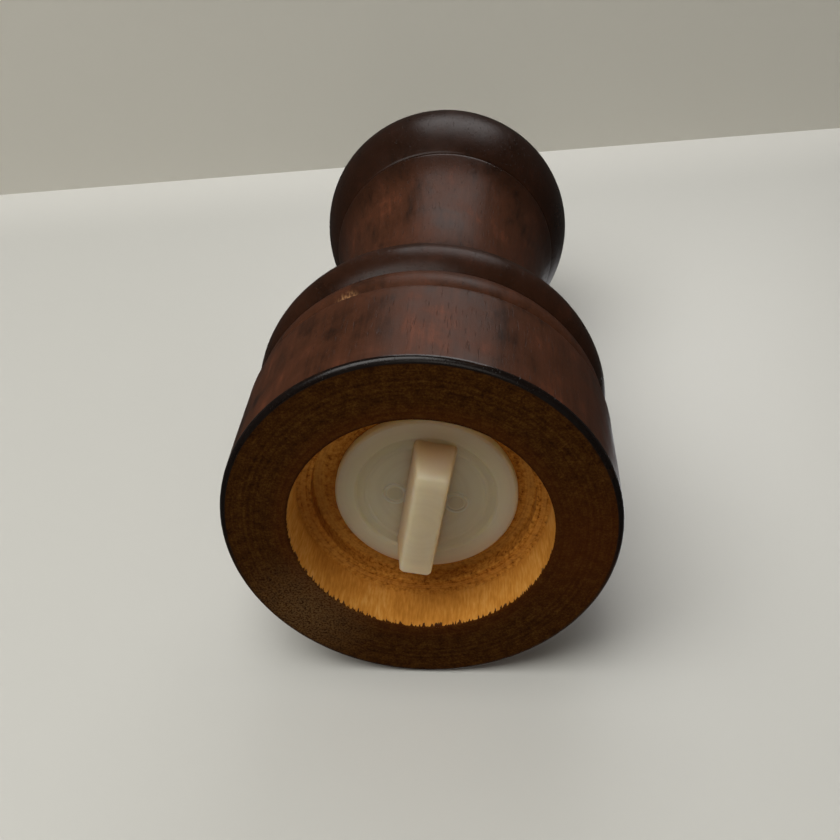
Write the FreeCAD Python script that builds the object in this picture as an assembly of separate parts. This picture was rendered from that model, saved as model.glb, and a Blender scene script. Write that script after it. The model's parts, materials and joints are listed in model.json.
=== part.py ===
"""Top-grinding pepper mill of turned wood, filled through a stopper in its base.

The mill stands on a ring-shaped base face. Peppercorns go in through the hole that the
stopper closes. To grind, the lid comes off, the mill is turned over and the head is
twisted on the body: the ring burr turns with the head round the cone burr, which a square
shaft ties to the body. A knob on the shaft's thread sets how coarse the pepper is.

Millimetres. +Z is the turning axis, the origin is the centre of the base face, and the
stopper's grip lies nearly along Y.
"""
import FreeCAD
import Part

import math
import os

from FreeCAD import Vector

UP = Vector(0, 0, 1)
ORIGIN = Vector(0, 0, 0)

# Driving dimensions
BASE_R = 27.5              # foot of the body, the widest place
BODY_H = 83.0              # base face to the split between body and head
HEAD_GAP = 0.3             # air between body and head at the split
HEAD_R = 23.8              # widest place of the head
HEAD_WIDE_Z = 94.5
HEAD_TOP_Z = 105.5         # rim round the outlet
HEAD_CROWN_R = 15.0        # outline radius of the head above its widest place
LID_GAP = 0.2
TOP_Z = 112.4              # crown of the lid
NECK_R = 20.8              # edge of the body at the split
WAIST_R = 16.6
WAIST_Z = 59.0
FIT = 0.03                 # play between pieces that are pressed or glued together
RUN = 0.1                  # radial play of turning and sliding pieces
SCREWS = 3

# Foot of the body: cylinder, groove, narrow band, notch and the round shoulder above
FOOT_TOP_R = 27.3
FOOT_TOP_Z = 19.5
FOOT_EDGE = 0.9
SMALL_EDGE = 0.45
GROOVE_R = 25.9
GROOVE_W = 1.1
BAND_R = 26.6
BAND_TOP_Z = 25.7
NOTCH_R = 24.8
NOTCH_W = 0.7
SHOULDER_R = 27.15
SHOULDER_Z = 31.2
SHOULDER_END_R = 24.4
SHOULDER_END_Z = 36.4

# Hollows of the body, from the base up
RECESS_MOUTH_R = 18.3
RECESS_R = 17.9
RECESS_D = 7.2
STEP_R = 15.9
STEP_D = 9.6
HOPPER_R = 11.0
HOPPER_OFF = (0.4, 0.3)    # the hopper's bore runs slightly off the turning axis
BRACKET_Z = 74.0           # ledge that carries the shaft bracket
MORTISE_R = 15.0

# Stopper
FLANGE_R = 12.95
FLANGE_Z = 7.7             # outer face of its flange
FLANGE_T = 1.8
DISH_R = 9.9
DISH_D = 0.35
SKIRT_R = 10.86
SKIRT_WALL = 1.3
SKIRT_END_Z = 20.0
SEAL_R = 10.96
GRIP_ROOT_L = 18.6
GRIP_TIP_L = 17.2
GRIP_ROOT_T = 6.0
GRIP_TIP_T = 4.4
GRIP_Z = 0.8               # the grip's outer face stays inside the base
GRIP_WALL = 1.1
MARK_R = 1.55
MARK_OFFSET = 4.35
MARK_SHIFT = 0.5           # the marks lie a little to one side of the grip's middle
STOPPER_TURN = 10.6        # how far the grip is turned from Y, in degrees

# Neck bush, bracket and shaft
BUSH_R = 13.3
BUSH_Z = 77.0
BUSH_FLANGE_R = 18.0
BUSH_FLANGE_T = 0.9
BRACKET_T = 1.5
WINDOW_R = 10.6
HUB_R = 5.2
SPOKE_W = 3.0
BRACKET_SCREW_R = 12.75
SHAFT_A = 5.0              # across the flats
SHAFT_FOOT_R = 4.6
SHAFT_FOOT_T = 2.0
SQUARE_END_Z = 96.8
THREAD_R = 2.45
THREAD_PITCH = 0.8
SHAFT_END_Z = 104.9
CLIP_R = 4.4
CLIP_T = 0.6

# Burrs
RING_Z = 86.0
RING_TOP_Z = 97.0
RING_R = 13.95
RING_IN_R = 10.2
THROAT_Z = 91.5
THROAT_R = 9.5
RING_OUT_R = 10.7
RING_TEETH = 24
CONE_Z = 87.0
CONE_TOP_Z = 98.0
CONE_IN_R = 5.3
CONE_THROAT_R = 9.0
CONE_OUT_R = 10.2
CONE_TEETH = 12
WASHER_R = 6.2
WASHER_T = 0.9
KNOB_R = 6.4
KNOB_H = 5.0
KNOB_FLUTES = 20
SPRING_R = 4.25
SPRING_WIRE = 0.4
SPRING_TURNS = 5

# Head, retainer and lid
TENON_Z = 77.5
TENON_R = BUSH_R - RUN
PASSAGE_R = 10.0
OUTLET_R = 17.2
RETAINER_IN_R = 11.2
RETAINER_R = 17.0
RETAINER_T = 1.2
RETAINER_SCREW_R = 15.55
TAB_W = 3.0
TAB_D = 1.2
LID_PLUG_R = 16.8
LID_PLUG_Z = 101.2
LID_HOLLOW_R = 12.4
LID_HOLLOW_TOP_Z = 107.2
LID_QUIRK = 0.7            # fingernail groove at the lid's edge
SEAL_MINOR_R = 0.9
SEAL_CENTRE_Z = 103.2


def at(r, z):
    """Point of an outline, at radius r and height z."""
    return Vector(r, 0, z)


def line(*points):
    """Straight edges through the points in turn."""
    return [Part.LineSegment(a, b).toShape() for a, b in zip(points, points[1:])]


def arc(start, middle, end):
    """Round edge through three points."""
    return [Part.Arc(start, middle, end).toShape()]


def on_arc(centre, radius, degrees):
    """Point at that angle on a circle in the outline's plane, 0 pointing outward."""
    turn = math.radians(degrees)
    return at(centre.x + radius * math.cos(turn), centre.z + radius * math.sin(turn))


def turned(*runs):
    """Solid of revolution from the runs of edges that make one closed outline."""
    edges = [edge for run in runs for edge in run]
    outline = Part.Wire(Part.__sortEdges__(edges))
    return Part.makeSolid(Part.Face(outline).revolve(ORIGIN, UP, 360))


def tube(inner, outer, low, high):
    """Plain ring between two radii and two heights."""
    ring = Part.makeCylinder(outer, high - low, at(0, low))
    if inner:
        ring = ring.cut(Part.makeCylinder(inner, high - low, at(0, low)))
    return ring


def block(x, y, low, high):
    """Rectangular block centred on the axis."""
    return Part.makeBox(x, y, high - low, Vector(-x / 2, -y / 2, low))


def around(shape, count, start=0.0):
    """Copies of a shape, evenly spaced about the axis."""
    copies = []
    for k in range(count):
        copy = shape.copy()
        copy.rotate(ORIGIN, UP, start + 360.0 * k / count)
        copies.append(copy)
    return copies


def cut_all(solid, tools):
    """Solid less each of the tools."""
    return solid.cut(Part.makeCompound(tools))


def save(name, shape):
    """Checks that a node is one or more valid closed solids, and writes its file."""
    solids = shape.Solids
    if not solids or not all(s.isValid() and s.Volume > 0 for s in solids):
        raise ValueError("node " + name + " isn't a valid closed solid")
    kept = solids[0] if len(solids) == 1 else Part.makeCompound(solids)
    kept.exportStep(os.path.join("parts", name + ".step"))
    print(name, len(solids), "solid(s)", round(kept.Volume, 1), "mm3")


# Wooden body

def body_outline():
    """Outer edge of the body, from the foot's rim to the split with the head."""
    foot = at(BASE_R - FOOT_EDGE, FOOT_EDGE)
    start = at(BASE_R - FOOT_EDGE, 0)
    wall_low = at(BASE_R, FOOT_EDGE)
    wall_top = at(FOOT_TOP_R, FOOT_TOP_Z - SMALL_EDGE)
    lip = at(FOOT_TOP_R - SMALL_EDGE, FOOT_TOP_Z)
    groove_low = at(GROOVE_R, FOOT_TOP_Z + 0.15)
    band_low_z = FOOT_TOP_Z + GROOVE_W
    groove_high = at(GROOVE_R, band_low_z - 0.15)
    band_start = at(BAND_R - SMALL_EDGE, band_low_z)
    band_end = at(BAND_R - SMALL_EDGE, BAND_TOP_Z)
    band_middle = at(BAND_R + 0.15, (band_low_z + BAND_TOP_Z) / 2)
    notch = at(NOTCH_R, BAND_TOP_Z + NOTCH_W / 2)
    shoulder_low = at(NOTCH_R + 0.4, BAND_TOP_Z + NOTCH_W)
    shoulder_top = at(SHOULDER_R, SHOULDER_Z)
    shoulder_end = at(SHOULDER_END_R, SHOULDER_END_Z)
    under = at(SHOULDER_R - 0.55, SHOULDER_Z - 2.7)
    over = at(SHOULDER_R - 0.75, SHOULDER_Z + 2.75)
    neck_low = at(NECK_R - 0.12, BODY_H - 0.4)
    waist = Part.BSplineCurve()
    waist.interpolate([
        shoulder_end,
        at(WAIST_R + 3.3, 42.0),
        at(WAIST_R + 0.75, 50.0),
        at(WAIST_R, WAIST_Z),
        at(WAIST_R + 0.7, 69.0),
        at(WAIST_R + 2.2, 77.3),
        neck_low,
    ])
    return (
        arc(start, on_arc(foot, FOOT_EDGE, -45), wall_low)
        + line(wall_low, wall_top)
        + arc(wall_top, on_arc(at(lip.x, wall_top.z), SMALL_EDGE, 45), lip)
        + line(lip, groove_low, groove_high, band_start)
        + arc(band_start, band_middle, band_end)
        + line(band_end, notch, shoulder_low)
        + arc(shoulder_low, under, shoulder_top)
        + arc(shoulder_top, over, shoulder_end)
        + [waist.toShape()]
        + line(neck_low, at(NECK_R - 0.4, BODY_H))
    )


def mill_body():
    """Turned body: recess and stopper hole below, hopper, and the mortise on top."""
    seat_z = BODY_H - (BUSH_FLANGE_T - HEAD_GAP)
    inside = line(
        at(NECK_R - 0.4, BODY_H),
        at(BUSH_FLANGE_R + FIT, BODY_H),
        at(BUSH_FLANGE_R + FIT, seat_z),
        at(MORTISE_R, seat_z),
        at(MORTISE_R, BRACKET_Z),
        at(HOPPER_R - 0.6, BRACKET_Z),
        at(HOPPER_R - 0.6, STEP_D),
        at(STEP_R, STEP_D),
        at(STEP_R, RECESS_D),
        at(RECESS_R, RECESS_D),
        at(RECESS_MOUTH_R, 0),
        at(BASE_R - FOOT_EDGE, 0),
    )
    body = turned(body_outline(), inside)
    hopper = Part.makeCylinder(HOPPER_R, BRACKET_Z - STEP_D, Vector(*HOPPER_OFF, STEP_D))
    pilot = Part.makeCylinder(1.0 + FIT, 7.6, at(BRACKET_SCREW_R, BRACKET_Z - 7.6))
    return cut_all(body, [hopper] + around(pilot, SCREWS))


# Stopper

def grip_bar(inset, low, high):
    """Bar along Y, tapered both ways towards its tip, its sides moved in by inset."""
    def outline(thickness, length, z):
        x, y = thickness / 2 - inset, length / 2 - inset
        corners = [(-x, -y), (x, -y), (x, y), (-x, y), (-x, -y)]
        return Part.makePolygon([Vector(cx, cy, z) for cx, cy in corners])
    tip = outline(GRIP_TIP_T, GRIP_TIP_L, low)
    root = outline(GRIP_ROOT_T, GRIP_ROOT_L, high)
    return Part.makeLoft([tip, root], True)


def filling_stopper():
    """Moulded stopper: dished flange, hollow skirt with sealing ribs, hollow grip."""
    face_z = FLANGE_Z + DISH_D
    seat_z = FLANGE_Z + FLANGE_T
    skirt_in = SKIRT_R - SKIRT_WALL
    rib = 0.25
    ribs = []
    for rib_z in (SKIRT_END_Z - 2.6, seat_z + 3.2):
        ribs += line(
            at(SKIRT_R, rib_z + rib),
            at(SEAL_R, rib_z + rib * 0.4),
            at(SEAL_R, rib_z - rib * 0.4),
            at(SKIRT_R, rib_z - rib),
        )
    plug = turned(
        line(
            at(0, face_z),
            at(DISH_R, face_z),
            at(DISH_R + 0.3, FLANGE_Z),
            at(FLANGE_R - 0.3, FLANGE_Z),
            at(FLANGE_R, FLANGE_Z + 0.3),
            at(FLANGE_R, seat_z),
            at(SKIRT_R, seat_z),
            at(SKIRT_R, seat_z + 3.2 - rib),
        ),
        line(at(SKIRT_R, seat_z + 3.2 + rib), at(SKIRT_R, SKIRT_END_Z - 2.6 - rib)),
        ribs,
        line(
            at(SKIRT_R, SKIRT_END_Z - 2.6 + rib),
            at(SKIRT_R, SKIRT_END_Z - 1.2),
            at(SKIRT_R - 0.6, SKIRT_END_Z),
            at(skirt_in, SKIRT_END_Z),
            at(skirt_in, seat_z),
            at(0, seat_z),
            at(0, face_z),
        ),
    )
    bar = grip_bar(0, GRIP_Z, face_z + 0.4)
    upright = [e for e in bar.Edges if abs(e.Vertexes[0].Z - e.Vertexes[1].Z) > 1]
    tip = [e for e in bar.Edges if e.BoundBox.ZMax < GRIP_Z + 0.01]
    bar = bar.makeFillet(0.6, upright + tip)
    hollow = grip_bar(GRIP_WALL, GRIP_Z + GRIP_WALL, seat_z + 0.2)
    plug = plug.fuse(bar)
    for side in (-1, 1):
        mark = Part.makeTorus(MARK_R, 0.22, Vector(side * MARK_OFFSET, MARK_SHIFT, face_z))
        plug = plug.fuse(mark)
    plug = plug.cut(hollow).removeSplitter()
    plug.rotate(ORIGIN, UP, STOPPER_TURN)
    plug.translate(Vector(*HOPPER_OFF, 0))
    return plug


# Neck of the body

def neck_bush():
    """Flanged nylon bush that the head's tenon turns in."""
    flange_low = BODY_H + HEAD_GAP - BUSH_FLANGE_T
    sleeve = tube(BUSH_R, MORTISE_R - FIT, BUSH_Z, flange_low)
    flange = tube(BUSH_R, BUSH_FLANGE_R, flange_low, flange_low + BUSH_FLANGE_T - 0.02)
    return sleeve.fuse(flange).removeSplitter()


def shaft_bracket():
    """Stamped steel spider: rim, spokes, and a hub with a square hole for the shaft."""
    top = BRACKET_Z + BRACKET_T
    rim = tube(WINDOW_R, MORTISE_R - 0.15, BRACKET_Z, top)
    hub = tube(0, HUB_R, BRACKET_Z, top)
    spoke = Part.makeBox(
        WINDOW_R - HUB_R + 1.2, SPOKE_W, BRACKET_T, Vector(HUB_R - 0.6, -SPOKE_W / 2, BRACKET_Z)
    )
    plate = rim.multiFuse([hub] + around(spoke, SCREWS)).removeSplitter()
    hole = Part.makeCylinder(1.15, 4, at(BRACKET_SCREW_R, BRACKET_Z - 1))
    square = block(SHAFT_A + 2 * FIT, SHAFT_A + 2 * FIT, BRACKET_Z - 1, top + 1)
    return cut_all(plate, around(hole, SCREWS) + [square])


def screw(place_r, seat_z, shank_r, length, head_r, head_h):
    """Round-headed wood screw, pointing down, with a cross recess in its head."""
    shank = Part.makeCylinder(shank_r, length - 1.2, at(place_r, seat_z - length + 1.2))
    point = Part.makeCone(0.15, shank_r, 1.2, at(place_r, seat_z - length))
    dome = Part.makeCylinder(head_r, head_h, at(place_r, seat_z))
    rim = [e for e in dome.Edges if e.BoundBox.ZMin > seat_z + head_h - 0.01]
    dome = dome.makeFillet(head_h * 0.55, rim)
    slot_w = head_r * 0.3
    depth = head_h * 0.5
    slots = [
        Part.makeBox(x, y, 2, Vector(place_r - x / 2, -y / 2, seat_z + head_h - depth))
        for x, y in ((head_r * 1.1, slot_w), (slot_w, head_r * 1.1))
    ]
    return cut_all(shank.multiFuse([point, dome]).removeSplitter(), slots)


def drive_shaft():
    """Square shaft with a round foot below the bracket and a thread for the knob."""
    foot = Part.makeCylinder(SHAFT_FOOT_R, SHAFT_FOOT_T, at(0, BRACKET_Z - SHAFT_FOOT_T))
    square = block(SHAFT_A, SHAFT_A, BRACKET_Z - SHAFT_FOOT_T, SQUARE_END_Z)
    neck = Part.makeCylinder(THREAD_R, SHAFT_END_Z - SQUARE_END_Z + 1, at(0, SQUARE_END_Z - 1))
    turns = int((SHAFT_END_Z - SQUARE_END_Z) / THREAD_PITCH)
    grooves = [
        Part.makeTorus(THREAD_R + 0.14, 0.3, at(0, SQUARE_END_Z + THREAD_PITCH * (k + 0.6)))
        for k in range(turns)
    ]
    return cut_all(foot.multiFuse([square, neck]).removeSplitter(), grooves)


def shaft_clip():
    """Push-on clip that keeps the shaft up against the bracket."""
    low = BRACKET_Z + BRACKET_T
    ring = tube(0, CLIP_R, low, low + CLIP_T)
    side = SHAFT_A + 2 * FIT
    notch = Part.makeBox(0.8, 0.8, 2, Vector(CLIP_R - 0.6, -0.4, low - 0.5))
    return cut_all(ring, [block(side, side, low - 1, low + 2)] + around(notch, 4, 45))


# Burrs and knob

def burr_ring():
    """Ring burr: teeth inside, wide at the inlet below, notches for the retainer."""
    ring = turned(line(
        at(RING_IN_R, RING_Z),
        at(RING_R - FIT, RING_Z),
        at(RING_R - FIT, RING_TOP_Z),
        at(RING_OUT_R, RING_TOP_Z),
        at(THROAT_R, THROAT_Z),
        at(RING_IN_R, RING_Z),
    ))
    height = RING_TOP_Z - RING_Z + 4
    gash = Part.makeBox(1.6, 0.8, height, Vector(-0.8, -0.4, -height / 2))
    gash.rotate(ORIGIN, Vector(1, 0, 0), 16)
    gash.translate(at(THROAT_R + 0.35, (RING_Z + RING_TOP_Z) / 2))
    notch = Part.makeBox(
        2.6, TAB_W + 2 * RUN, TAB_D + 1, Vector(RING_R - 2.0, -TAB_W / 2 - RUN, RING_TOP_Z - TAB_D)
    )
    return cut_all(ring, around(gash, RING_TEETH) + around(notch, SCREWS, 60))


def burr_cone():
    """Cone burr: slides on the square shaft, widest at the outlet above."""
    cone = turned(line(
        at(0, CONE_Z),
        at(CONE_IN_R, CONE_Z),
        at(CONE_THROAT_R, THROAT_Z + 0.4),
        at(CONE_OUT_R, CONE_TOP_Z - 0.5),
        at(CONE_OUT_R - 0.4, CONE_TOP_Z),
        at(0, CONE_TOP_Z),
        at(0, CONE_Z),
    ))
    height = CONE_TOP_Z - CONE_Z + 4
    gash = Part.makeBox(4, 1.1, height, Vector(-0.9, -0.55, -height / 2))
    gash.rotate(ORIGIN, Vector(0, 1, 0), 22)
    gash.rotate(ORIGIN, Vector(1, 0, 0), -24)
    gash.translate(at(CONE_THROAT_R - 0.55, (CONE_Z + CONE_TOP_Z) / 2))
    side = SHAFT_A + 2 * RUN
    hole = block(side, side, CONE_Z - 1, CONE_TOP_Z + 1)
    return cut_all(cone, around(gash, CONE_TEETH) + [hole])


def burr_spring():
    """Compression spring between the clip and the cone burr, with closed end rings."""
    low = BRACKET_Z + BRACKET_T + CLIP_T
    bottom = low + SPRING_WIRE
    top = CONE_Z - SPRING_WIRE
    pitch = (top - bottom) / SPRING_TURNS
    helix = Part.makeHelix(pitch, top - bottom, SPRING_R)
    helix.translate(at(0, bottom))
    start = helix.Edges[0].valueAt(helix.Edges[0].FirstParameter)
    along = helix.Edges[0].tangentAt(helix.Edges[0].FirstParameter)
    section = Part.Wire(Part.makeCircle(SPRING_WIRE, start, along))
    coil = Part.Wire(helix.Edges).makePipeShell([section], True, True)
    ends = [Part.makeTorus(SPRING_R, SPRING_WIRE, at(0, z)) for z in (bottom, top)]
    return Part.makeSolid(coil).multiFuse(ends)


def cone_washer():
    """Washer between the cone burr and the knob."""
    low = CONE_TOP_Z
    return tube(THREAD_R + RUN, WASHER_R, low, low + WASHER_T)


def grind_knob():
    """Fluted brass knob on the shaft's thread."""
    low = CONE_TOP_Z + WASHER_T
    high = low + KNOB_H
    knob = turned(line(
        at(THREAD_R + 0.05, low),
        at(KNOB_R - 0.5, low),
        at(KNOB_R, low + 0.5),
        at(KNOB_R, high - 0.7),
        at(KNOB_R - 0.7, high),
        at(THREAD_R + 0.6, high),
        at(THREAD_R + 0.05, high - 0.5),
        at(THREAD_R + 0.05, low),
    ))
    flute = Part.makeCylinder(0.55, KNOB_H + 2, at(KNOB_R + 0.25, low - 1))
    return cut_all(knob, around(flute, KNOB_FLUTES))


# Head and what is fixed in it

def crown_r(z):
    """Radius of the head above its widest place."""
    rise = z - HEAD_WIDE_Z
    return HEAD_R - HEAD_CROWN_R + math.sqrt(HEAD_CROWN_R ** 2 - rise ** 2)


def mill_head():
    """Turned head: tenon below, seats for the ring burr and its retainer, outlet above."""
    low = BODY_H + HEAD_GAP
    edge = at(NECK_R + 0.05, low + 0.5)
    wide = at(HEAD_R, HEAD_WIDE_Z)
    rim = at(crown_r(HEAD_TOP_Z - 0.4), HEAD_TOP_Z - 0.4)
    middle_z = (edge.z + wide.z) / 2
    crown_z = (wide.z + rim.z) / 2
    head = turned(
        line(at(NECK_R - 0.4, low), edge),
        arc(edge, at(NECK_R + 2.25, middle_z), wide),
        arc(wide, at(crown_r(crown_z), crown_z), rim),
        line(
            rim,
            at(rim.x - 0.6, HEAD_TOP_Z),
            at(OUTLET_R + 0.3, HEAD_TOP_Z),
            at(OUTLET_R, HEAD_TOP_Z - 0.3),
            at(OUTLET_R, RING_TOP_Z),
            at(RING_R, RING_TOP_Z),
            at(RING_R, RING_Z),
            at(PASSAGE_R, RING_Z),
            at(PASSAGE_R, TENON_Z),
            at(TENON_R - 0.4, TENON_Z),
            at(TENON_R, TENON_Z + 0.4),
            at(TENON_R, low),
            at(NECK_R - 0.4, low),
        ),
    )
    pilot = Part.makeCylinder(0.8 + FIT, 6.7, at(RETAINER_SCREW_R, RING_TOP_Z - 6.7))
    return cut_all(head, around(pilot, SCREWS))


def ring_retainer():
    """Steel plate that holds the ring burr down and keys it to the head."""
    plate = tube(RETAINER_IN_R, RETAINER_R, RING_TOP_Z, RING_TOP_Z + RETAINER_T)
    tab = Part.makeBox(
        1.3, TAB_W, TAB_D, Vector(RING_R - 1.5, -TAB_W / 2, RING_TOP_Z - TAB_D + 0.1)
    )
    hole = Part.makeCylinder(0.95, 4, at(RETAINER_SCREW_R, RING_TOP_Z - 1))
    plate = plate.multiFuse(around(tab, SCREWS, 60)).removeSplitter()
    return cut_all(plate, around(hole, SCREWS))


def lid():
    """Turned lid: plug with a seal groove, hollow over the knob, domed crown."""
    low = HEAD_TOP_Z + LID_GAP
    edge_r = crown_r(low + LID_QUIRK)
    dome_start = at(edge_r, low + LID_QUIRK)
    dome_side = at(edge_r - 2.1, low + 3.3)
    dome_shoulder = at(edge_r - 6.0, low + 5.1)
    rise = TOP_Z - dome_shoulder.z
    dome_r = (dome_shoulder.x ** 2 + rise ** 2) / (2 * rise)
    dome_centre = at(0, TOP_Z - dome_r)
    half_angle = math.degrees(math.asin(dome_shoulder.x / dome_r)) / 2
    seal_low = SEAL_CENTRE_Z - SEAL_MINOR_R
    seal_high = SEAL_CENTRE_Z + SEAL_MINOR_R
    seal_r = OUTLET_R - RUN - 2 * SEAL_MINOR_R
    return turned(
        line(
            at(0, LID_HOLLOW_TOP_Z),
            at(LID_HOLLOW_R - 1, LID_HOLLOW_TOP_Z),
            at(LID_HOLLOW_R, LID_HOLLOW_TOP_Z - 1),
            at(LID_HOLLOW_R, LID_PLUG_Z),
            at(LID_PLUG_R - 0.5, LID_PLUG_Z),
            at(LID_PLUG_R, LID_PLUG_Z + 0.5),
            at(LID_PLUG_R, seal_low),
            at(seal_r, seal_low),
            at(seal_r, seal_high),
            at(LID_PLUG_R, seal_high),
            at(LID_PLUG_R, low),
            at(edge_r - LID_QUIRK, low),
            dome_start,
        ),
        arc(dome_start, dome_side, dome_shoulder),
        arc(dome_shoulder, on_arc(dome_centre, dome_r, 90 - half_angle), at(0, TOP_Z)),
        line(at(0, TOP_Z), at(0, LID_HOLLOW_TOP_Z)),
    )


def lid_seal():
    """Silicone ring that holds the lid in the outlet."""
    minor = SEAL_MINOR_R - 0.02
    return Part.makeTorus(OUTLET_R - 0.05 - minor, minor, at(0, SEAL_CENTRE_Z))


def main():
    os.makedirs("parts", exist_ok=True)
    save("mill_body", mill_body())
    save("filling_stopper", filling_stopper())
    save("neck_bush", neck_bush())
    save("shaft_bracket", shaft_bracket())
    bracket_screw = screw(BRACKET_SCREW_R, BRACKET_Z + BRACKET_T, 1.0, 8.5, 1.7, 1.0)
    for number, piece in enumerate(around(bracket_screw, SCREWS), 1):
        save("bracket_screw_%d" % number, piece)
    save("drive_shaft", drive_shaft())
    save("shaft_clip", shaft_clip())
    save("burr_spring", burr_spring())
    save("burr_cone", burr_cone())
    save("cone_washer", cone_washer())
    save("grind_knob", grind_knob())
    save("mill_head", mill_head())
    save("burr_ring", burr_ring())
    save("ring_retainer", ring_retainer())
    retainer_screw = screw(RETAINER_SCREW_R, RING_TOP_Z + RETAINER_T, 0.8, 7.0, 1.4, 0.8)
    for number, piece in enumerate(around(retainer_screw, SCREWS), 1):
        save("retainer_screw_%d" % number, piece)
    save("lid", lid())
    save("lid_seal", lid_seal())


main()
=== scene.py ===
"""Looks of the pepper mill: turned and stained wood, a milky stopper, and the mechanism."""

import json
import math

import bmesh
import bpy
import numpy as np
from mathutils import Matrix, Vector


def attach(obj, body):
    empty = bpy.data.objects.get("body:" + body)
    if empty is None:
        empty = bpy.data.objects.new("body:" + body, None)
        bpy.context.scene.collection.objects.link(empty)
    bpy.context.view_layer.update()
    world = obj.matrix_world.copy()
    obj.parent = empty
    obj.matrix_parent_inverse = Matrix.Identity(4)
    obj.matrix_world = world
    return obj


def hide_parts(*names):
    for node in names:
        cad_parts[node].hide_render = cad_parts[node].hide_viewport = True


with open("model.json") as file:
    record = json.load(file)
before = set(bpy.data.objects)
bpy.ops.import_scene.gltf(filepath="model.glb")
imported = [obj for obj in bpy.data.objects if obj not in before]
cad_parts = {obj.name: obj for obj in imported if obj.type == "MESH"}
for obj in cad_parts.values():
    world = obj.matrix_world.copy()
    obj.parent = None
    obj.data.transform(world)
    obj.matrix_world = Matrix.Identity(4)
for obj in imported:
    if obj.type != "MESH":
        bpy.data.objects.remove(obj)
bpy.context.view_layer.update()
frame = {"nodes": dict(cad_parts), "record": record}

MM = 0.001
HEAD_LOW = 83.3
HEAD_R = 23.8
HEAD_WIDE_Z = 94.5
HEAD_CROWN_R = 15.0
HEAD_TOP = 105.5
LID_LOW = 105.7
TOP = 112.4
FLANGE_Z = 7.7
STOPPER_TURN = 10.6
MARK_OFFSET = 4.35
MARK_SHIFT = 0.5
MARK_R = 1.55
GRIP_TIP = (2.2, 8.6)       # half thickness and half length
GRIP_GROWTH = (0.8, 0.7)    # what each gains from tip to root
GRIP_Z = 0.8
RECESS_R = 17.9
RECESS_Z = 7.2
STEP_R = 15.9
STEP_Z = 9.6
HOPPER_R = 11.0
HOPPER_TOP = 74.0
HOPPER_OFF = (0.4 * MM, 0.3 * MM)


# Outlines: lists of (r, z) in millimetres

def arc(start, middle, end, count=10):
    """Points on the arc from start through middle to end."""
    (ax, ay), (bx, by), (cx, cy) = start, middle, end
    d = 2 * (ax * (by - cy) + bx * (cy - ay) + cx * (ay - by))
    a2, b2, c2 = ax * ax + ay * ay, bx * bx + by * by, cx * cx + cy * cy
    ux = (a2 * (by - cy) + b2 * (cy - ay) + c2 * (ay - by)) / d
    uy = (a2 * (cx - bx) + b2 * (ax - cx) + c2 * (bx - ax)) / d
    angles = np.unwrap([math.atan2(y - uy, x - ux) for x, y in (start, middle, end)])
    radius = math.hypot(ax - ux, ay - uy)
    sweep = np.linspace(angles[0], angles[2], count + 1)
    return [(ux + radius * math.cos(t), uy + radius * math.sin(t)) for t in sweep]


def curve(points, count=10):
    """Smooth line through the points."""
    p = np.array(points, float)
    p = np.vstack([2 * p[0] - p[1], p, 2 * p[-1] - p[-2]])
    out = [tuple(points[0])]
    for a, b, c, d in zip(p, p[1:], p[2:], p[3:]):
        for t in np.linspace(0, 1, count + 1)[1:]:
            q = 2 * b + (c - a) * t + (2 * a - 5 * b + 4 * c - d) * t ** 2
            out.append(tuple((q + (3 * b - a - 3 * c + d) * t ** 3) / 2))
    return out


def eased(points, radius, count=4):
    """The line with each corner sharper than 20 degrees rounded off, as far as it has room."""
    out = [points[0]]
    for before, corner, after in zip(points, points[1:], points[2:]):
        a, b, c = (np.array(p, float) for p in (before, corner, after))
        u, v = a - b, c - b
        lu, lv = np.linalg.norm(u), np.linalg.norm(v)
        bend = math.pi - math.acos(max(-1, min(1, float(u @ v) / (lu * lv))))
        if bend < math.radians(20):
            out.append(corner)
            continue
        cut = min(radius * math.tan(bend / 2), 0.45 * lu, 0.45 * lv)
        start, end = b + u / lu * cut, b + v / lv * cut
        for t in np.linspace(0, 1, count + 1):
            out.append(tuple((1 - t) ** 2 * start + 2 * t * (1 - t) * b + t ** 2 * end))
    return out + [points[-1]]


def divided(points, step):
    """The line with points added so that none are further apart than step."""
    out = [points[0]]
    for (ar, az), (br, bz) in zip(points, points[1:]):
        parts = max(1, math.ceil(math.hypot(br - ar, bz - az) / step))
        for k in range(1, parts + 1):
            out.append((ar + (br - ar) * k / parts, az + (bz - az) * k / parts))
    return out


def cells(angle, level, around, along, seed):
    """Smooth noise from 0 to 1 over angle (whole turns) and level, with cells of that count."""
    grid = np.random.default_rng(seed).random((around, 64))
    u, v = (angle % 1.0) * around, np.mod(level * along, 63)
    iu, iv = np.floor(u).astype(int) % around, np.floor(v).astype(int)
    fu, fv = u - np.floor(u), v - np.floor(v)
    fu, fv = fu * fu * (3 - 2 * fu), fv * fv * (3 - 2 * fv)
    ju, jv = (iu + 1) % around, (iv + 1) % 64
    low = grid[iu, iv] * (1 - fu) + grid[ju, iv] * fu
    high = grid[iu, jv] * (1 - fu) + grid[ju, jv] * fu
    return low * (1 - fv) + high * fv


# Meshes

def new_object(name, vertices, faces, material, body):
    """Mesh object in the row frame that rides on a body."""
    mesh = bpy.data.meshes.new(name)
    mesh.from_pydata(vertices, [], faces)
    mesh.validate()
    mesh.polygons.foreach_set("use_smooth", [True] * len(mesh.polygons))
    obj = bpy.data.objects.new(name, mesh)
    bpy.context.scene.collection.objects.link(obj)
    mesh.materials.append(material)
    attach(obj, body)
    return obj


def lathe_grid(outline, segments):
    """Angle in turns, r and z of every point of a turned surface, in rows along the outline."""
    line = np.array(outline, float)
    angle = np.arange(segments) / segments
    angle, r = np.meshgrid(angle, line[:, 0])
    z = np.repeat(line[:, 1:2], segments, axis=1)
    return angle, r, z


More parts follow.
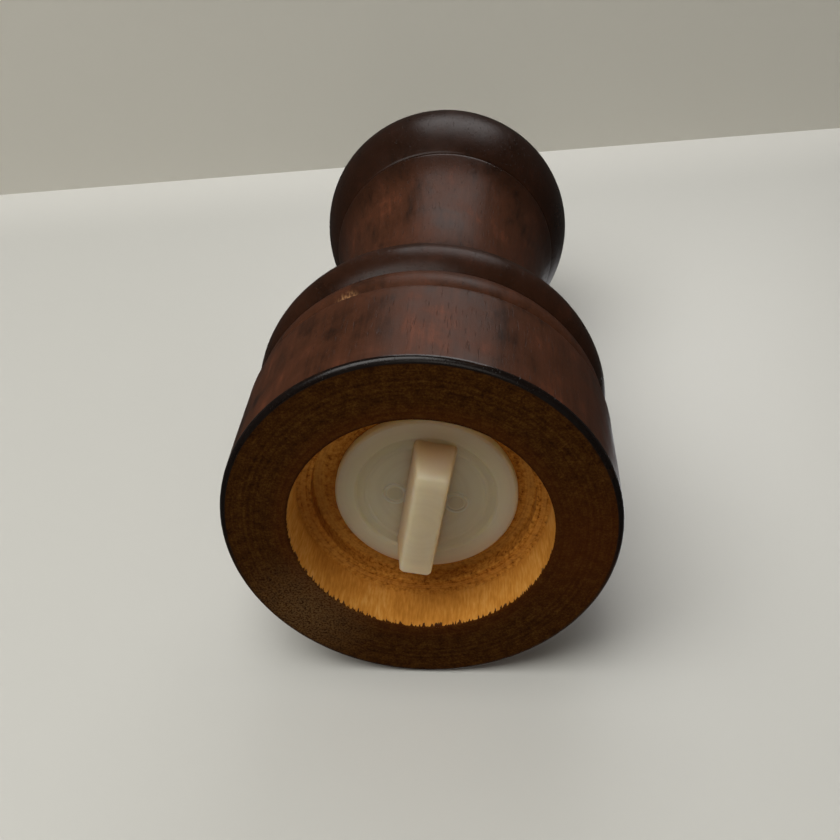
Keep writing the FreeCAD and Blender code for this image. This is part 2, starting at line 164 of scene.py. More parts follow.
def lathe(name, grid, material, body, depth=None, closed=True):
    """Turned surface from a grid; depth is how far each row is inside the stain's edge, in mm."""
    angle, r, z = grid
    rows, count = r.shape
    turn = angle * 2 * math.pi
    xyz = np.stack([r * np.cos(turn), r * np.sin(turn), z], axis=2).reshape(-1, 3) * MM
    index = np.arange(rows * count).reshape(rows, count)
    following = np.roll(index, -1, axis=1)
    low, high = (index, np.roll(index, -1, axis=0)) if closed else (index[:-1], index[1:])
    next_low = following if closed else following[:-1]
    next_high = np.roll(following, -1, axis=0) if closed else following[1:]
    faces = np.stack([low, next_low, next_high, high], axis=2).reshape(-1, 4)
    obj = new_object(name, xyz.tolist(), faces.tolist(), material, body)
    if depth is not None:
        layer = obj.data.attributes.new("depth", "FLOAT", "POINT")
        layer.data.foreach_set("value", np.repeat(depth, count).astype(np.float32))
    weld = bmesh.new()
    weld.from_mesh(obj.data)
    bmesh.ops.remove_doubles(weld, verts=weld.verts, dist=1e-7)
    bmesh.ops.recalc_face_normals(weld, faces=weld.faces)
    weld.to_mesh(obj.data)
    weld.free()
    return obj


def depth_from(outline, start):
    """Length of the outline past the point number start, in mm, and zero before it."""
    line = np.array(outline, float)
    steps = np.concatenate([[0], np.linalg.norm(np.diff(line, axis=0), axis=1)])
    length = np.cumsum(steps)
    return np.clip(length - length[start], 0, 1e3)


def in_stopper(x, y, z):
    """Point of the mill in millimetres, from one on the turned and offset stopper."""
    turn = math.radians(STOPPER_TURN)
    return (x * math.cos(turn) - y * math.sin(turn) + HOPPER_OFF[0] / MM,
            x * math.sin(turn) + y * math.cos(turn) + HOPPER_OFF[1] / MM, z)


# Materials

class Shader:
    """A material's node tree, with short calls that add and join nodes."""

    def __init__(self, name):
        self.material = bpy.data.materials.new(name)
        self.material.use_nodes = True
        self.tree = self.material.node_tree
        self.tree.nodes.clear()
        self.output = self.tree.nodes.new("ShaderNodeOutputMaterial")
        self.place = self.add("ShaderNodeTexCoord").outputs["Object"]

    def add(self, kind, inputs=None, **settings):
        """New node; inputs maps socket names or numbers to values or to other sockets."""
        node = self.tree.nodes.new(kind)
        for key, value in settings.items():
            setattr(node, key, value)
        for key, value in (inputs or {}).items():
            if isinstance(value, bpy.types.NodeSocket):
                self.tree.links.new(value, node.inputs[key])
            else:
                node.inputs[key].default_value = value
        return node

    def maths(self, operation, a, b=0.0, clamp=False):
        inputs = {0: a, 1: b}
        return self.add("ShaderNodeMath", inputs, operation=operation, use_clamp=clamp).outputs[0]

    def scaled(self, scale, place=None):
        """Coordinates stretched by a factor on each axis."""
        inputs = {"Vector": place or self.place, "Scale": scale}
        return self.add("ShaderNodeMapping", inputs).outputs[0]

    def noise(self, scale, stretch=(1, 1, 1), detail=2.0, rough=0.5, warp=0.0):
        inputs = {"Vector": self.scaled(stretch), "Scale": scale, "Detail": detail,
                  "Roughness": rough, "Distortion": warp}
        return self.add("ShaderNodeTexNoise", inputs).outputs[0]

    def step(self, value, low, high, start=0.0, end=1.0):
        """Smooth rise from start at low to end at high."""
        inputs = {"Value": value, "From Min": low, "From Max": high, "To Min": start, "To Max": end}
        return self.add("ShaderNodeMapRange", inputs, interpolation_type="SMOOTHSTEP").outputs[0]

    def ramp(self, value, *stops):
        """Colour for a value, from (position, colour) pairs."""
        node = self.add("ShaderNodeValToRGB", {0: value})
        elements = node.color_ramp.elements
        while len(elements) < len(stops):
            elements.new(0.5)
        for element, (position, colour) in zip(elements, stops):
            element.position = position
            element.color = (*colour, 1)
        return node.outputs[0]

    def mix(self, share, a, b):
        """Colour between a and b."""
        a = (*a, 1) if isinstance(a, tuple) else a
        b = (*b, 1) if isinstance(b, tuple) else b
        node = self.add("ShaderNodeMix", data_type="RGBA")
        for key, value in ((0, share), (6, a), (7, b)):
            if isinstance(value, bpy.types.NodeSocket):
                self.tree.links.new(value, node.inputs[key])
            else:
                node.inputs[key].default_value = value
        return node.outputs[2]

    def bump(self, height, distance, strength=1.0, normal=None):
        inputs = {"Height": height, "Distance": distance, "Strength": strength}
        if normal:
            inputs["Normal"] = normal
        return self.add("ShaderNodeBump", inputs).outputs[0]

    def radius(self):
        """Distance from the turning axis, and height, in millimetres."""
        flat = self.scaled((1000, 1000, 0))
        r = self.add("ShaderNodeVectorMath", {0: flat}, operation="LENGTH").outputs["Value"]
        parts = self.add("ShaderNodeSeparateXYZ", {0: self.scaled((1000, 1000, 1000))}).outputs
        return r, parts[2]

    def spot(self, centre, size):
        """One at a point in millimetres, fading to zero at a distance of size."""
        place = self.scaled((1000, 1000, 1000))
        inputs = {0: place, 1: centre}
        away = self.add("ShaderNodeVectorMath", inputs, operation="DISTANCE").outputs["Value"]
        return self.step(away, 0.0, size, 1.0, 0.0)

    def surface(self, **inputs):
        """Principled surface; names are its inputs with underscores for spaces."""
        named = {key.replace("_", " "): value for key, value in inputs.items()}
        return self.add("ShaderNodeBsdfPrincipled", named)

    def done(self, shader):
        self.tree.links.new(shader.outputs[0], self.output.inputs["Surface"])
        return self.material


def wood():
    """Dark stain outside, bare wood inside, with a ragged edge between them at the mouth."""
    s = Shader("stained_wood")
    depth = s.add("ShaderNodeAttribute", attribute_name="depth").outputs["Fac"]
    r, z = s.radius()
    streaks = s.noise(900, (1, 1, 0.06), 3, 0.55, 0.2)
    fibres = s.noise(2900, (1, 1, 0.06), 2, 0.55)
    patches = s.noise(130, (1, 1, 0.75), 4, 0.6, 0.4)
    pores = s.step(s.noise(3600, (1, 1, 0.09), 2, 0.5), 0.63, 0.72)

    # Stained outside
    tone = s.maths("ADD", s.maths("MULTIPLY", streaks, 0.28), s.maths("MULTIPLY", patches, 0.72))
    tone = s.maths("ADD", tone, s.maths("MULTIPLY", s.maths("SUBTRACT", fibres, 0.5), 0.16))
    stain = s.ramp(tone, (0.32, (0.020, 0.008, 0.004)), (0.46, (0.052, 0.018, 0.008)),
                   (0.57, (0.066, 0.022, 0.010)), (0.70, (0.115, 0.034, 0.015)))
    stain = s.mix(s.maths("MULTIPLY", pores, 0.45), stain, (0.010, 0.004, 0.002))
    # Painted shade: the big bead, the top of the waist and the head are stained much darker,
    # standing in for the shade on their sides
    bead = s.maths("MULTIPLY", s.step(z, 25.6, 26.2), s.step(z, 33.0, 37.0, 1.0, 0.0))
    shaded_bands = s.maths("MAXIMUM", bead, s.step(z, 74.0, 84.0))
    head = s.step(z, 82.5, 85.0)
    dark = s.maths("ADD", s.maths("MULTIPLY", shaded_bands, 0.66), s.maths("MULTIPLY", head, 0.14))
    stain = s.mix(dark, stain, (0.0085, 0.0034, 0.0016))
    # Painted shade: near-black lines in the groove and in the notch above the band
    groove = s.maths("MULTIPLY", s.step(z, 19.15, 19.45), s.step(z, 20.60, 20.95, 1.0, 0.0))
    notch = s.maths("MULTIPLY", s.step(z, 25.65, 25.95), s.step(z, 26.25, 26.6, 1.0, 0.0))
    groove_shade = s.maths("MULTIPLY", s.maths("MAXIMUM", groove, notch), 0.9)
    stain = s.mix(groove_shade, stain, (0.004, 0.002, 0.0013))

    # Painted shade line on the outer edge of the base, with lower roughness and more shine,
    # strongest on the side towards the lights and faint round the back
    rim = s.maths("MULTIPLY", s.step(r, 26.55, 26.8), s.step(z, 0.7, 1.05, 1.0, 0.0))
    side = s.add("ShaderNodeSeparateXYZ", {0: s.place}).outputs[1]
    rim = s.maths("MULTIPLY", rim, s.step(side, -0.006, 0.012, 1.0, 0.15))
    rim = s.maths("MULTIPLY", rim, s.step(patches, 0.34, 0.46, 0.55, 1.0))

    # End grain of the ring-shaped base face
    base = s.step(z, 0.25, 0.7, 1.0, 0.0)
    mottle = s.noise(720, (1, 1, 1), 5, 0.68, 0.25)
    dots = s.noise(3300, (1, 1, 1), 2, 0.6)
    flat = s.add("ShaderNodeCombineXYZ", {0: r}).outputs[0]
    turned = s.add("ShaderNodeTexNoise", {"Vector": flat, "Scale": 2.4, "Detail": 2.0}).outputs[0]
    face = s.maths("ADD", s.maths("MULTIPLY", mottle, 0.42), s.maths("MULTIPLY", dots, 0.34))
    face = s.maths("ADD", face, s.maths("MULTIPLY", turned, 0.24))
    end = s.ramp(face, (0.40, (0.020, 0.0060, 0.0008)), (0.50, (0.042, 0.0135, 0.0016)),
                 (0.58, (0.064, 0.0250, 0.0036)), (0.68, (0.098, 0.044, 0.0090)))
    red = s.maths("MAXIMUM", s.spot((21, 3, 0), 17.0), s.step(r, 18.8, 21.5, 0.7, 0.0))
    end = s.mix(s.maths("MULTIPLY", red, 0.45), end, (0.068, 0.0150, 0.0018))
    worn = s.maths("MULTIPLY", s.spot((-17, 15.5, 0), 13.0), s.step(dots, 0.36, 0.60))
    end = s.mix(s.maths("MULTIPLY", worn, 0.70), end, (0.135, 0.074, 0.028))
    # The painted shade line of the edge, laid over the base face and the side
    end = s.mix(rim, end, (0.0055, 0.0030, 0.0024))
    stain = s.mix(rim, s.mix(base, stain, end), (0.0060, 0.0034, 0.0026))
    nick = s.maths("MULTIPLY", s.spot((-10.4, -23.9, 20.75), 2.3), s.step(z, 20.2, 20.6))
    nick = s.maths("MULTIPLY", nick, s.step(fibres, 0.4, 0.55))
    stain = s.mix(nick, stain, (0.36, 0.19, 0.08))

    # Bare wood of the bores
    short = s.noise(3000, (1, 1, 0.16), 2, 0.5)
    grain = s.maths("ADD", s.maths("MULTIPLY", short, 0.4), s.maths("MULTIPLY", patches, 0.6))
    bare = s.ramp(grain, (0.36, (0.400, 0.160, 0.022)), (0.50, (0.530, 0.228, 0.036)),
                  (0.64, (0.640, 0.330, 0.078)))
    rough_end = s.maths("MULTIPLY", s.step(depth, 5.6, 7.6), s.step(r, 10.5, 11.5))
    torn = s.maths("ADD", s.maths("MULTIPLY", s.noise(1700, (1, 1, 1), 3, 0.65), 0.62),
                   s.maths("MULTIPLY", turned, 0.38))
    ledge = s.ramp(torn, (0.37, (0.165, 0.050, 0.006)), (0.47, (0.385, 0.150, 0.020)),
                   (0.60, (0.540, 0.240, 0.040)))
    ridge = s.maths("MULTIPLY", s.step(r, 14.4, 14.8), s.step(r, 15.4, 15.8, 1.0, 0.0))
    ridge = s.maths("MAXIMUM", ridge, s.maths("MULTIPLY", s.step(r, 16.6, 16.9),
                                              s.step(r, 17.2, 17.5, 1.0, 0.0)))
    ledge = s.mix(s.maths("MULTIPLY", ridge, 0.4), ledge, (0.56, 0.260, 0.050))
    # Painted shade on the ledges on the left (-X) side
    ledge = s.mix(s.maths("MULTIPLY", s.spot((-16, 3, 8), 12.0), 0.5), ledge, (0.21, 0.060, 0.008))
    bare = s.mix(rough_end, bare, ledge)

    # Stain creeps a little way up the fibres of the bore's wall
    teeth = s.noise(2300, (1, 1, 0.12), 3, 0.65)
    creep = s.step(teeth, 0.42, 0.74, 0.15, 1.05)
    inside = s.step(s.maths("SUBTRACT", depth, creep), 0.0, 0.16)
    colour = s.mix(inside, stain, bare)

    rough = s.step(patches, 0.3, 0.7, 0.34, 0.46)
    rough = s.maths("ADD", rough, s.maths("MULTIPLY", base, 0.16))
    rough = s.maths("SUBTRACT", rough, s.maths("MULTIPLY", rim, 0.28))
    rough = s.maths("MAXIMUM", rough, s.maths("MULTIPLY", inside, 0.72))
    relief = s.maths("SUBTRACT", s.maths("MULTIPLY", fibres, 0.3), pores)
    normal = s.bump(relief, 0.00005, 0.5)
    normal = s.bump(mottle, 0.0001, 0.25, normal)
    shine = s.maths("MULTIPLY", s.step(inside, 0, 1, 0.105, 0.06), s.step(base, 0, 1, 1.0, 0.3))
    shine = s.maths("ADD", shine, s.maths("MULTIPLY", rim, 0.26))
    rough = s.maths("SUBTRACT", rough, s.maths("MULTIPLY", shaded_bands, 0.08))
    shine = s.maths("ADD", shine, s.maths("MULTIPLY", shaded_bands, 0.02))
    return s.done(s.surface(Base_Color=colour, Roughness=rough, Normal=normal,
                            Specular_IOR_Level=shine))


def milky():
    """Translucent polyethylene, with faint rings, a middle painted a little lighter, and painted
    highlights as lighter outlines on its two marks.
    """
    s = Shader("milky_plastic")
    r, z = s.radius()
    cloud = s.noise(260, (1, 1, 1), 3, 0.6)
    flow = s.noise(1300, (1, 1, 0.4), 2, 0.5)
    flat = s.add("ShaderNodeCombineXYZ", {0: r}).outputs[0]
    rings = s.add("ShaderNodeTexNoise", {"Vector": flat, "Scale": 0.9, "Detail": 1.0}).outputs[0]
    # Painted light: the middle of the face a little lighter
    centre = s.maths("MULTIPLY", s.step(r, 7.8, 9.2, 1.0, 0.0), s.step(z, 7.2, 7.6))
    colour = s.mix(centre, (0.96, 0.80, 0.50), (0.97, 0.82, 0.52))
    colour = s.mix(s.step(rings, 0.40, 0.62, 0.0, 0.22), colour, (0.82, 0.64, 0.36))
    colour = s.mix(s.maths("MULTIPLY", cloud, 0.25), colour, (0.84, 0.66, 0.36))
    for side in (-1, 1):
        mark = s.spot(in_stopper(side * MARK_OFFSET, MARK_SHIFT, FLANGE_Z + 0.35), 2.6)
        # Painted highlight: a lighter outline round each raised mark, and a darker middle inside it
        ring = s.maths("MULTIPLY", s.step(mark, 0.15, 0.28), s.step(mark, 0.46, 0.60, 1.0, 0.0))
        colour = s.mix(s.maths("MULTIPLY", ring, 0.9), colour, (1.0, 0.97, 0.82))
        colour = s.mix(s.step(mark, 0.58, 0.66, 0.0, 0.40), colour, (0.60, 0.48, 0.28))
    tip = s.maths("MULTIPLY", s.step(z, 1.1, 1.3, 1.0, 0.0), s.step(r, 6.6, 7.6, 1.0, 0.0))
    colour = s.mix(s.maths("MULTIPLY", tip, 0.16), colour, (0.66, 0.52, 0.30))
    normal = s.bump(flow, 0.00004, 0.4)
    shell = s.surface(Base_Color=colour, Roughness=0.38, Normal=normal, Specular_IOR_Level=0.35,
                      Subsurface_Weight=0.9, Subsurface_Radius=(0.011, 0.0085, 0.0050),
                      Subsurface_Scale=1.0)
    through = s.add("ShaderNodeBsdfTranslucent", {"Color": colour})
    body = s.add("ShaderNodeMixShader", {0: 0.40, 1: shell.outputs[0], 2: through.outputs[0]})
    clear = s.add("ShaderNodeBsdfTransparent")
    share = s.step(z, 5.0, 7.6, 0.0, 0.04)
    return s.done(s.add("ShaderNodeMixShader", {0: share, 1: body.outputs[0], 2: clear.outputs[0]}))


def metal(name, light, dark, rough, lines=0.0):
    """Metal with fine turning marks and duller patches."""
    s = Shader(name)
    r, z = s.radius()
    line = s.add("ShaderNodeCombineXYZ", {0: r, 1: z}).outputs[0]
    marks = s.add("ShaderNodeTexNoise", {"Vector": line, "Scale": 14.0, "Detail": 3.0}).outputs[0]
    patches = s.noise(380, (1, 1, 1), 4, 0.65)
    colour = s.mix(s.step(patches, 0.35, 0.65), light, dark)
    finish = s.step(patches, 0.3, 0.7, rough, rough + 0.16)
    normal = s.bump(marks, 0.00002, 0.3 + lines)
    return s.done(s.surface(Base_Color=colour, Metallic=1.0, Roughness=finish, Normal=normal))


def moulded(name, light, dark, rough):
    """Moulded plastic or rubber with a faint grain."""
    s = Shader(name)
    cloud = s.noise(300, (1, 1, 1), 3, 0.6)
    grain = s.noise(5200, (1, 1, 1), 2, 0.5)
    colour = s.mix(s.step(cloud, 0.35, 0.65), light, dark)
    finish = s.step(cloud, 0.3, 0.7, rough, rough + 0.1)
    normal = s.bump(grain, 0.00002, 0.35)
    return s.done(s.surface(Base_Color=colour, Roughness=finish, Normal=normal))


# Pieces

def body_outline():
    """Outline of the body from the mouth of the recess, outward and up, then back down inside."""
    outside = [(18.3, 0.0), (26.45, 0.0)] + arc((26.6, 0.0), (27.24, 0.26), (27.5, 0.9), 6)
    outside += arc((27.3, 19.05), (27.17, 19.37), (26.85, 19.5), 4)
    outside += [(25.95, 19.68), (25.9, 19.8), (25.9, 20.32), (25.97, 20.45)]
    outside += arc((26.15, 20.6), (26.75, 23.15), (26.15, 25.7), 12)
    outside += [(24.85, 25.98), (24.8, 26.1)]
    outside += arc((25.2, 26.4), (26.6, 28.5), (27.15, 31.2), 10)
    outside += arc((27.15, 31.2), (26.4, 33.95), (24.4, 36.4), 12)[1:]
    outside += curve([(24.4, 36.4), (19.9, 42), (17.35, 50), (16.6, 59), (17.3, 69),
                      (18.8, 77.3), (20.68, 82.6)], 8)[1:]
    outside += [(20.62, 82.85), (20.4, 83.0)]
    inside = [(18.06, 83.0), (18.03, 82.97), (18.03, 82.4), (15.0, 82.4),
              (15.0, HOPPER_TOP), (HOPPER_R, HOPPER_TOP), (HOPPER_R, STEP_Z), (STEP_R, STEP_Z),
              (STEP_R, RECESS_Z), (RECESS_R, RECESS_Z), (18.3, 0.0)]
    inside = eased([outside[-1]] + inside, 0.35)[1:]
    return divided(outside, 0.45), divided(inside, 0.45)


def wood_body(material):
    outside, inside = body_outline()
    outline = outside + inside[:-1]
    angle, r, z = lathe_grid(outline, 560)
    count = len(outside)
    depth = np.zeros(len(outline))
    back = np.array(inside[::-1])
    length = np.concatenate([[0], np.cumsum(np.linalg.norm(np.diff(back, axis=0), axis=1))])
    depth[count:] = length[::-1][:-1]
    face = (z < 0.02) & (r < 26.5) & (r > 18.4)
    z = z + np.where(face, 0.05 * cells(angle, r, 90, 1.4, 1), 0)
    wobble = 0.05 * cells(angle, z, 14, 0.12, 2) + 0.02 * cells(angle, z, 150, 0.3, 3)
    outer = np.zeros_like(z, bool)
    outer[:count] = True
    r = r - np.where(outer & (z > 0.5), wobble, 0)
    steps = (np.abs(z - RECESS_Z) < 0.15) & (r < 17.7) | (np.abs(z - STEP_Z) < 0.15) & (r > 11.4)
    tears = cells(angle, r, 380, 2.6, 4) * cells(angle, r, 90, 0.9, 5)
    pits = np.clip(cells(angle, r, 420, 3.1, 6) - 0.62, 0, 1) * 2.2
    z = z + np.where(steps, 0.14 * tears + 0.22 * pits, 0)
    wall = ~outer & (z < 7.0) & (r > 17)
    r = r + np.where(wall, 0.035 * (cells(angle, z, 420, 0.25, 7) - 0.5), 0)
    obj = lathe("wood_body", (angle, r, z), material, "body", depth)
    for vertex in obj.data.vertices:
        x, y, height = vertex.co / MM
        share = min(max((13.0 - math.hypot(x, y)) / 1.6, 0.0), 1.0)
        if 9.0 < height < 74.2:
            vertex.co += share * Vector((*HOPPER_OFF, 0))
    return obj


def crown_r(z):
    """Radius of the head above its widest place."""
    return HEAD_R - HEAD_CROWN_R + math.sqrt(HEAD_CROWN_R ** 2 - (z - HEAD_WIDE_Z) ** 2)


def wood_head(material):
    """Turning head: outside, outlet, burr seat, passage and tenon."""
    edge = (20.85, 83.8)
    outside = [(20.4, HEAD_LOW), (20.62, 83.36)]
    outside += arc(edge, (23.05, (83.8 + HEAD_WIDE_Z) / 2), (HEAD_R, HEAD_WIDE_Z), 18)
    outside += [(crown_r(z), z) for z in np.linspace(HEAD_WIDE_Z, HEAD_TOP - 0.4, 20)[1:]]
    rim = crown_r(HEAD_TOP - 0.4) - 0.6
    inside = [(rim, HEAD_TOP), (17.5, HEAD_TOP), (17.2, 105.2), (17.2, 97.0), (13.95, 97.0),
              (13.95, 86.0), (10.0, 86.0), (10.0, 77.5), (12.8, 77.5), (13.2, 77.9)]
    inside = eased([outside[-1]] + inside, 0.25)[1:]
    inside += [(13.2, HEAD_LOW), (20.4, HEAD_LOW)]      # sharp, to clear the bush
    outline = divided(outside, 0.5) + divided(inside, 0.5)[:-1]
    count = len(divided(outside, 0.5))
    angle, r, z = lathe_grid(outline, 480)
    outer = np.zeros_like(z, bool)
    outer[:count] = True
    r = r - np.where(outer, 0.04 * cells(angle, z, 12, 0.15, 11), 0)
    depth = np.clip(depth_from(outline, count) - (rim - 17.0), 0, 1e3)
    return lathe("wood_head", (angle, r, z), material, "head", depth)


def wood_lid(material):
    """Domed lid with its plug, seal groove and hollow."""
    edge_r = crown_r(LID_LOW + 0.7)
    start, shoulder = (edge_r, LID_LOW + 0.7), (edge_r - 6.0, LID_LOW + 5.1)
    rise = TOP - shoulder[1]
    dome_r = (shoulder[0] ** 2 + rise ** 2) / (2 * rise)
    half = math.asin(shoulder[0] / dome_r)
    dome = [(dome_r * math.sin(t), TOP - dome_r + dome_r * math.cos(t))
            for t in np.linspace(half, 0.0, 16)]
    outside = arc(start, (edge_r - 2.1, LID_LOW + 3.3), shoulder, 14) + dome[1:]
    under = [(0.0, 107.2), (11.4, 107.2), (12.4, 106.2), (12.4, 101.2), (16.3, 101.2),
             (16.8, 101.7), (16.8, 102.3), (15.3, 102.3), (15.3, 104.1), (16.8, 104.1),
             (16.8, LID_LOW), (edge_r - 0.7, LID_LOW), start]
    under = eased(under, 0.2)
    outline = divided(under, 0.5)[:-1] + divided(outside, 0.5)
    angle, r, z = lathe_grid(outline, 400)
    line = np.array(outline)
    depth = np.where((line[:, 0] < 16.9) & (line[:, 1] < 107.5), 3.0, 0.0)
    return lathe("wood_lid", (angle, r, z), material, "lid", depth, closed=False)


def rounded_section(x, y, corner, z, count=5):
    """Points round a rectangle with rounded corners, half sizes x and y, at height z."""
    points = []
    for k, (sx, sy) in enumerate(((1, 1), (-1, 1), (-1, -1), (1, -1))):
        for t in np.linspace(0, math.pi / 2, count):
            a = t + k * math.pi / 2
            points.append((sx * (x - corner) + corner * math.cos(a),
                           sy * (y - corner) + corner * math.sin(a), z))
    return points


def sleeve(rings, cap=True, inward=False):
    """Vertices and faces of a surface through rings of equal count, closed at the first ring."""
    count = len(rings[0])
    vertices = [p for ring in rings for p in ring]
    faces = []
    for k in range(len(rings) - 1):
        for j in range(count):
            a, b = k * count + j, k * count + (j + 1) % count
            faces.append((a, b, b + count, a + count))
    if cap:
        faces.append(tuple(range(count - 1, -1, -1)))
    if inward:
        faces = [f[::-1] for f in faces]
    return vertices, faces


def grip(wall, tip_z, root_z, corner):
    """Grip bar's surface, taken in by a wall thickness, with a softened tip."""
    rings = []
    length = root_z - GRIP_Z
    for z, ease in ((tip_z, 0.5), (tip_z + 0.05, 0.27), (tip_z + 0.18, 0.1), (tip_z + 0.45, 0.0),
                    (tip_z + 2.0, 0.0), (tip_z + 4.0, 0.0), (root_z, 0.0)):
        taper = (z - GRIP_Z) / length
        sides = (half + growth * taper - wall - ease
                 for half, growth in zip(GRIP_TIP, GRIP_GROWTH))
        rings.append(rounded_section(*sides, max(corner, 0.15), z))
    return rings


def stopper(material):
    """Stopper: dished flange, ribbed skirt, hollow grip bar and two ring marks."""
    face, seat = FLANGE_Z + 0.35, FLANGE_Z + 1.8
    outline = [(0.0, face), (8.3, face), (8.45, face - 0.1), (8.75, face - 0.1), (8.9, face),
               (9.9, face), (10.2, FLANGE_Z), (12.65, FLANGE_Z), (12.95, FLANGE_Z + 0.3),
               (12.95, seat), (10.86, seat), (10.86, seat + 2.9), (10.96, seat + 3.1),
               (10.96, seat + 3.3), (10.86, seat + 3.5), (10.86, 17.1), (10.96, 17.3),
               (10.96, 17.5), (10.86, 17.7), (10.86, 18.8), (10.26, 20.0), (9.56, 20.0),
               (9.56, seat), (0.0, seat)]
    outline = divided(eased(outline, 0.22), 0.6)
    obj = lathe("stopper", lathe_grid(outline, 200), material, "stopper", closed=False)
    turn = Matrix.Rotation(math.radians(STOPPER_TURN), 4, "Z")
    scale = Matrix.Diagonal((MM, MM, MM, 1))
    parts = bmesh.new()
    parts.from_mesh(obj.data)
    shells = [sleeve(grip(0.0, GRIP_Z, face + 0.05, 0.6)),
              sleeve(grip(1.1, GRIP_Z + 1.1, seat, 0.3), inward=True)]
    for side in (-1, 1):
        rings = []
        for a in np.linspace(0, 2 * math.pi, 13):
            minor = MARK_R + 0.2 * math.cos(a)
            rings.append([(side * MARK_OFFSET + minor * math.cos(t),
                           MARK_SHIFT + minor * math.sin(t), face + 0.17 * math.sin(a))
                          for t in np.linspace(0, 2 * math.pi, 41)[:-1]])
        shells.append(sleeve(rings, cap=False))
    for vertices, faces in shells:
        made = [parts.verts.new(scale @ Vector(v)) for v in vertices]
        for f in faces:
            parts.faces.new([made[i] for i in f])
    for f in parts.faces:
        f.smooth = True
    parts.transform(Matrix.Translation((*HOPPER_OFF, 0)) @ turn)
    parts.to_mesh(obj.data)
    parts.free()
    return obj


# Stage, light and camera

def one_sided(s, shader):
    """The shader seen from the front, nothing from the back."""
    back = s.add("ShaderNodeNewGeometry").outputs["Backfacing"]
    clear = s.add("ShaderNodeBsdfTransparent")
    return s.add("ShaderNodeMixShader", {0: back, 1: shader.outputs[0], 2: clear.outputs[0]})


def pale(name, colour, rough, edge=None):
    """Plain pale surface, seen from one side only, with a painted highlight along an edge if one is
    given.
    """
    s = Shader(name)
    cloud = s.noise(9, (1, 1, 1), 2, 0.5)
    tint = s.mix(s.maths("MULTIPLY", cloud, 0.12), colour, tuple(c * 0.93 for c in colour))
    if edge:
        point, inward = edge
        way = s.add("ShaderNodeVectorMath", {0: s.place, 1: point}, operation="SUBTRACT").outputs[0]
        way = s.add("ShaderNodeVectorMath", {0: way, 1: inward}, operation="DOT_PRODUCT")
        # Painted highlight in a band along the given edge
        edge_highlight = s.step(way.outputs["Value"], 0.0, 0.030, 0.55, 0.0)
        tint = s.mix(edge_highlight, tint, (0.74, 0.735, 0.70))
    return s.done(one_sided(s, s.surface(Base_Color=tint, Roughness=rough)))


def panel(name, corners, material):
    """Flat four-cornered panel of the stage."""
    mesh = bpy.data.meshes.new(name)
    mesh.from_pydata([tuple(c) for c in corners], [], [(0, 1, 2, 3)])
    obj = bpy.data.objects.new(name, mesh)
    bpy.context.scene.collection.objects.link(obj)
    mesh.materials.append(material)
    obj.visible_shadow = False
    return obj


def backdrop():
    """Pale wall all round the upright views, seen by the camera only."""
    s = Shader("backdrop_white")
    height = s.add("ShaderNodeSeparateXYZ", {0: s.place}).outputs[2]
    tone = s.mix(s.step(height, 0.0, 0.6), (0.36, 0.355, 0.33), (0.42, 0.415, 0.39))
    s.done(s.add("ShaderNodeEmission", {"Color": tone, "Strength": 1.0}))
    turns = np.linspace(0, 2 * math.pi, 65)[:-1]
    points = [(0.95 * math.cos(t), 0.95 * math.sin(t), z) for z in (-0.01, 1.4) for t in turns]
    faces = [(j, (j + 1) % 64, 64 + (j + 1) % 64, 64 + j) for j in range(64)]
    mesh = bpy.data.meshes.new("backdrop")
    mesh.from_pydata(points, [], faces)
    mesh.materials.append(s.material)
    obj = bpy.data.objects.new("backdrop", mesh)
    bpy.context.scene.collection.objects.link(obj)
    for ray in ("visible_shadow", "visible_diffuse", "visible_glossy", "visible_transmission"):
        setattr(obj, ray, False)


def light(name, place, target, size, power, colour):
    data = bpy.data.lights.new(name, "AREA")
    data.shape = "RECTANGLE"
    data.size, data.size_y = size
    data.energy = power
    data.color = colour
    obj = bpy.data.objects.new(name, data)
    obj.location = place
    obj.rotation_mode = "QUATERNION"
    obj.rotation_quaternion = (Vector(target) - Vector(place)).to_track_quat("-Z", "Y")
    bpy.context.scene.collection.objects.link(obj)
    return obj


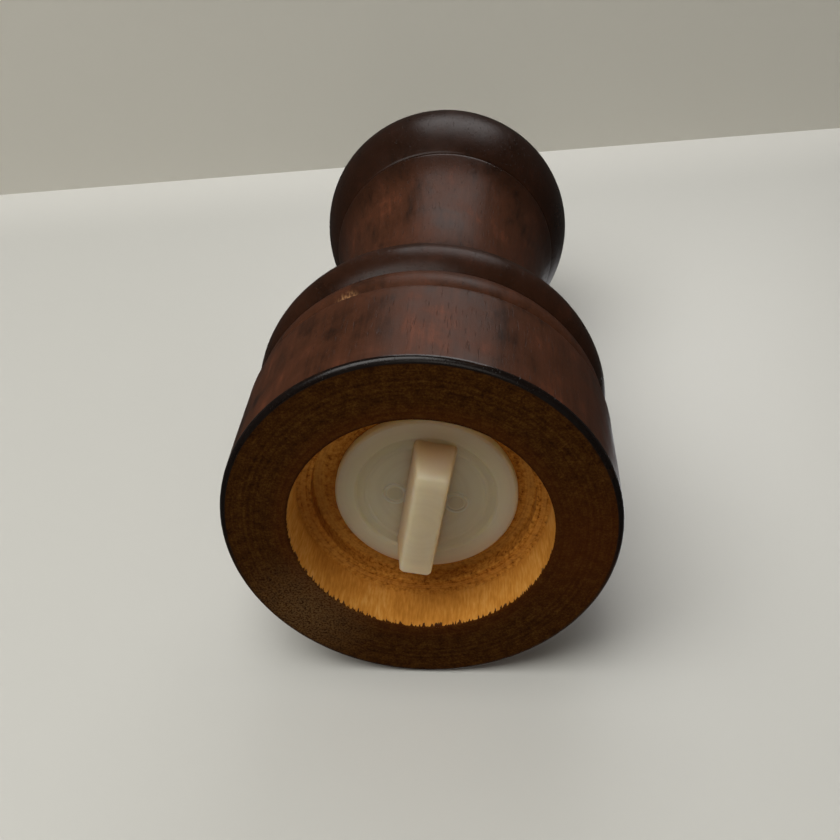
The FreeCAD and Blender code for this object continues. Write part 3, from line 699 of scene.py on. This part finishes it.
def build_stage():
    """The table that the mill lies on, the wall behind it, and a floor for upright views."""
    away = Vector((0, -0.0391, 0.9992))
    up = Vector((0, -0.9992, -0.0391))
    foot = Vector((0, 0.0276, 0))
    left, right = Vector((-0.1236, 0.0211, 0.1633)), Vector((0.1055, 0.0197, 0.1983))
    edge = (right - left).normalized()
    far_left, far_right = left - edge * 0.5, right + edge * 0.5
    near_left, near_right = (foot + Vector((x, 0, 0)) - away * 0.35 for x in (-0.6, 0.6))
    table = panel("table", [near_left, near_right, far_right, far_left],
          pale("table_white", (0.57, 0.57, 0.54), 0.34, (left, edge.cross(up))))
    wall = panel("wall", [far_left, far_right, far_right + up * 0.5, far_left + up * 0.5],
          pale("wall_white", (0.66, 0.64, 0.575), 0.6))
    floor = panel("floor", [(-1, -1, 0), (1, -1, 0), (1, 1, 0), (-1, 1, 0)],
                  pale("floor_white", (0.60, 0.595, 0.56), 0.5))
    for ray in ("visible_diffuse", "visible_glossy", "visible_transmission"):
        setattr(floor, ray, False)
    table.visible_glossy = wall.visible_glossy = False
    backdrop()
    light("sky_panel", (-0.20, -0.60, -0.16), (0, 0, 0.03), (0.6, 0.5), 4.3, (1.0, 0.985, 0.95))
    light("back_panel", (0.05, -0.35, 0.45), (0, 0, 0.07), (0.35, 0.25), 0.8, (1.0, 0.98, 0.98))
    light("rear_fill", (0.1, 0.5, 0.35), (0, 0, 0.05), (0.5, 0.5), 1.1, (0.98, 0.98, 1.0))
    light("recess_fill", (0.03, -0.10, -0.22), (0, 0, 0.005), (0.12, 0.12), 0.06, (1.0, 0.96, 0.88))
    world = bpy.data.worlds.new("room")
    world.use_nodes = True
    background = world.node_tree.nodes["Background"]
    background.inputs[0].default_value = (1.0, 0.96, 0.88, 1)
    background.inputs[1].default_value = 0.055
    bpy.context.scene.world = world


def build_camera():
    """Camera low behind the base, looking up into the recess."""
    data = bpy.data.cameras.new("camera")
    data.sensor_width = 36
    data.lens = 49.55
    data.clip_start = 0.005
    obj = bpy.data.objects.new("camera", data)
    right = Vector((0.9976, 0.0397, 0.0574))
    ahead = Vector((-0.0698, 0.5678, 0.8202)).normalized()
    right = (right - ahead * right.dot(ahead)).normalized()
    up = right.cross(ahead)
    turn = Matrix((right, up, -ahead)).transposed().to_4x4()
    obj.matrix_world = Matrix.Translation((0.01093, -0.10137, -0.12007)) @ turn
    bpy.context.scene.collection.objects.link(obj)
    bpy.context.scene.camera = obj


def main():
    stained = wood()
    for piece, node in ((wood_body(stained), "mill_body"), (wood_head(stained), "mill_head"),
                        (wood_lid(stained), "lid")):
        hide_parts(node)
    milk = milky()
    plug = stopper(milk)
    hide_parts("filling_stopper")

    plated = metal("plated_steel", (0.66, 0.66, 0.64), (0.50, 0.50, 0.49), 0.26)
    hard = metal("burr_steel", (0.36, 0.36, 0.37), (0.24, 0.24, 0.25), 0.34, 0.3)
    brass = metal("turned_brass", (0.80, 0.58, 0.26), (0.62, 0.43, 0.18), 0.22, 0.2)
    nylon = moulded("nylon", (0.82, 0.80, 0.73), (0.74, 0.72, 0.65), 0.42)
    rubber = moulded("silicone", (0.020, 0.019, 0.018), (0.030, 0.028, 0.027), 0.5)
    finishes = {"plated_steel": plated, "burr_steel": hard, "brass": brass, "nylon": nylon,
                "silicone": rubber, "stained_wood": stained, "milky_plastic": milk}
    for part in frame["record"]["subparts"]:
        node = frame["nodes"][part["node"]]
        node.data.materials.clear()
        node.data.materials.append(finishes[part["material_slot"]])
    build_stage()
    build_camera()
    bpy.context.scene.view_settings.view_transform = "Standard"


main()
